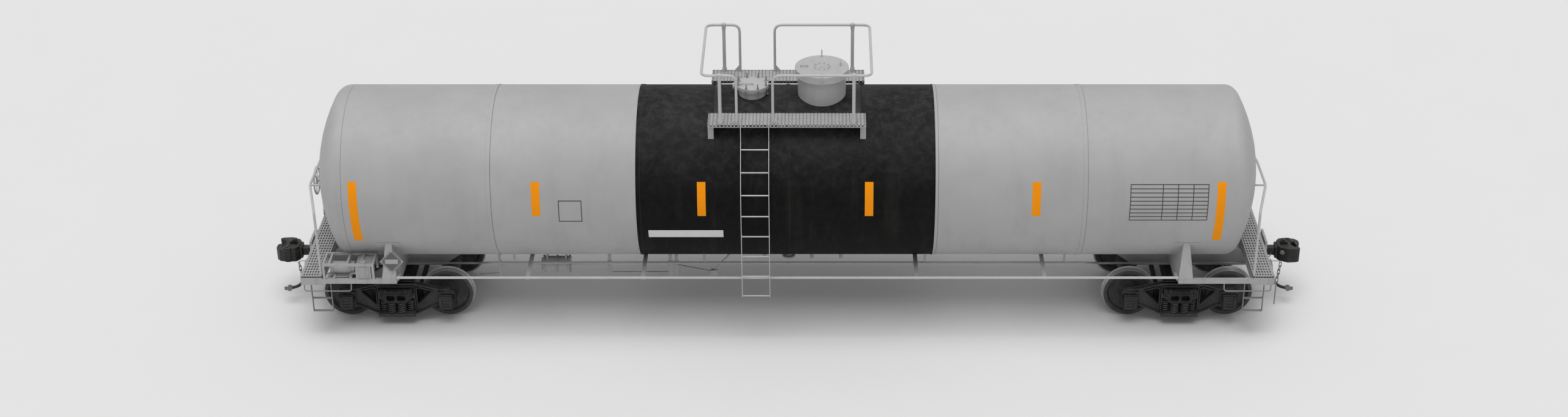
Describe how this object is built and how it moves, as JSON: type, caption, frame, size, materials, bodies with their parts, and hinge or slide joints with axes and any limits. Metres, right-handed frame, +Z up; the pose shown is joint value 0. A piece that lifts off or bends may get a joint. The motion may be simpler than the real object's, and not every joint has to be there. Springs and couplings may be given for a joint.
{
  "type": "railway tank car",
  "caption": "Insulated railway tank car with stub sills, swivelling trucks, knuckle couplers, top walkways, valve housing and manway",
  "frame": {"origin": "on the floor under the middle of the car, level with the lowest point of the wheel flanges", "axes": "+X towards the A end, +Y to the left side, +Z up"},
  "size_m": [18.68, 3.248, 4.9538],
  "materials": {
    "band_black": "black paint",
    "jacket_grey": "light grey gloss paint with a black centre band and orange stripes",
    "frame_grey": "light grey satin paint",
    "grating_grey": "grey painted safety grating",
    "rail_grey": "light grey painted pipe",
    "fitting_grey": "light grey painted casting",
    "bolt_steel": "dull steel",
    "valve_metal": "cast valve body",
    "pipe_grey": "grey painted pipe and castings",
    "hose_rubber": "black rubber",
    "glad_hand_metal": "bare casting",
    "truck_black": "dark dusty cast steel",
    "spring_steel": "dark coil spring steel",
    "wheel_steel": "rolled steel with a bright tread",
    "axle_steel": "dark forged steel",
    "coupler_black": "black cast steel"
  },
  "bodies": {
    "car": {"tank_jacket": "jacket_grey", "tank_head_a": "jacket_grey", "tank_head_b": "jacket_grey", "stub_sill_a": "frame_grey", "stub_sill_b": "frame_grey", "body_bolster_a": "frame_grey", "body_bolster_b": "frame_grey", "side_sills": "frame_grey", "end_beam_a": "frame_grey", "end_beam_b": "frame_grey", "gratings": "grating_grey", "walkway_saddles": "band_black", "end_handrail_a": "rail_grey", "end_handrail_b": "rail_grey", "side_handrails": "rail_grey", "tank_brackets": "frame_grey", "corner_steps_a": "frame_grey", "corner_steps_b": "frame_grey", "ladder_left": "frame_grey", "ladder_right": "frame_grey", "ladder_rungs": "frame_grey", "top_handrail_a": "rail_grey", "top_handrail_b": "rail_grey", "manway_nozzle": "fitting_grey", "valve_housing": "fitting_grey", "housing_fittings": "valve_metal", "bottom_outlet": "valve_metal", "train_line": "pipe_grey", "brake_cylinder": "pipe_grey", "brake_rods": "pipe_grey", "brake_rack": "frame_grey", "hand_brake": "pipe_grey", "cut_levers": "pipe_grey", "air_hose_a": "hose_rubber", "air_hose_b": "hose_rubber", "glad_hand_a": "glad_hand_metal", "glad_hand_b": "glad_hand_metal"},
    "manway_lid": {"manway_cover": "fitting_grey", "manway_bolts": "bolt_steel"},
    "housing_cap": {"housing_lid": "fitting_grey"},
    "truck_a": {"side_frames_a": "truck_black", "truck_bolster_a": "truck_black", "springs_a": "spring_steel", "brake_beams_a": "truck_black"},
    "truck_b": {"side_frames_b": "truck_black", "truck_bolster_b": "truck_black", "springs_b": "spring_steel", "brake_beams_b": "truck_black"},
    "wheelset_1": {"axle_1": "axle_steel", "wheels_1": "wheel_steel"},
    "wheelset_2": {"axle_2": "axle_steel", "wheels_2": "wheel_steel"},
    "wheelset_3": {"axle_3": "axle_steel", "wheels_3": "wheel_steel"},
    "wheelset_4": {"axle_4": "axle_steel", "wheels_4": "wheel_steel"},
    "coupler_a": {"coupler_a": "coupler_black", "knuckle_a": "coupler_black"},
    "coupler_b": {"coupler_b": "coupler_black", "knuckle_b": "coupler_black"}
  },
  "joints": [
    {"name": "truck_a_swivel", "type": "hinge", "parent": "car", "child": "truck_a", "pos_m": [7.04, 0, 0.687], "axis": [0, 0, 1], "range_deg": [-5, 5]},
    {"name": "truck_b_swivel", "type": "hinge", "parent": "car", "child": "truck_b", "pos_m": [-7.04, 0, 0.687], "axis": [0, 0, 1], "range_deg": [-5, 5]},
    {"name": "wheelset_1_spin", "type": "hinge", "parent": "truck_a", "child": "wheelset_1", "pos_m": [7.929, 0, 0.482], "axis": [0, 1, 0], "continuous": true},
    {"name": "wheelset_2_spin", "type": "hinge", "parent": "truck_a", "child": "wheelset_2", "pos_m": [6.151, 0, 0.482], "axis": [0, 1, 0], "continuous": true},
    {"name": "wheelset_3_spin", "type": "hinge", "parent": "truck_b", "child": "wheelset_3", "pos_m": [-6.151, 0, 0.482], "axis": [0, 1, 0], "continuous": true},
    {"name": "wheelset_4_spin", "type": "hinge", "parent": "truck_b", "child": "wheelset_4", "pos_m": [-7.929, 0, 0.482], "axis": [0, 1, 0], "continuous": true},
    {"name": "coupler_a_swing", "type": "hinge", "parent": "car", "child": "coupler_a", "pos_m": [8.3, 0, 0.901], "axis": [0, 0, 1], "range_deg": [-7, 7]},
    {"name": "coupler_b_swing", "type": "hinge", "parent": "car", "child": "coupler_b", "pos_m": [-8.3, 0, 0.901], "axis": [0, 0, 1], "range_deg": [-7, 7]},
    {"name": "manway_hinge", "type": "hinge", "parent": "car", "child": "manway_lid", "pos_m": [-0.943, 0, 4.249], "axis": [0, -1, 0], "range_deg": [0, 100]},
    {"name": "housing_hinge", "type": "hinge", "parent": "car", "child": "housing_cap", "pos_m": [0.605, 0.509, 4.493], "axis": [-1, 0, 0], "range_deg": [0, 100]}
  ]
}
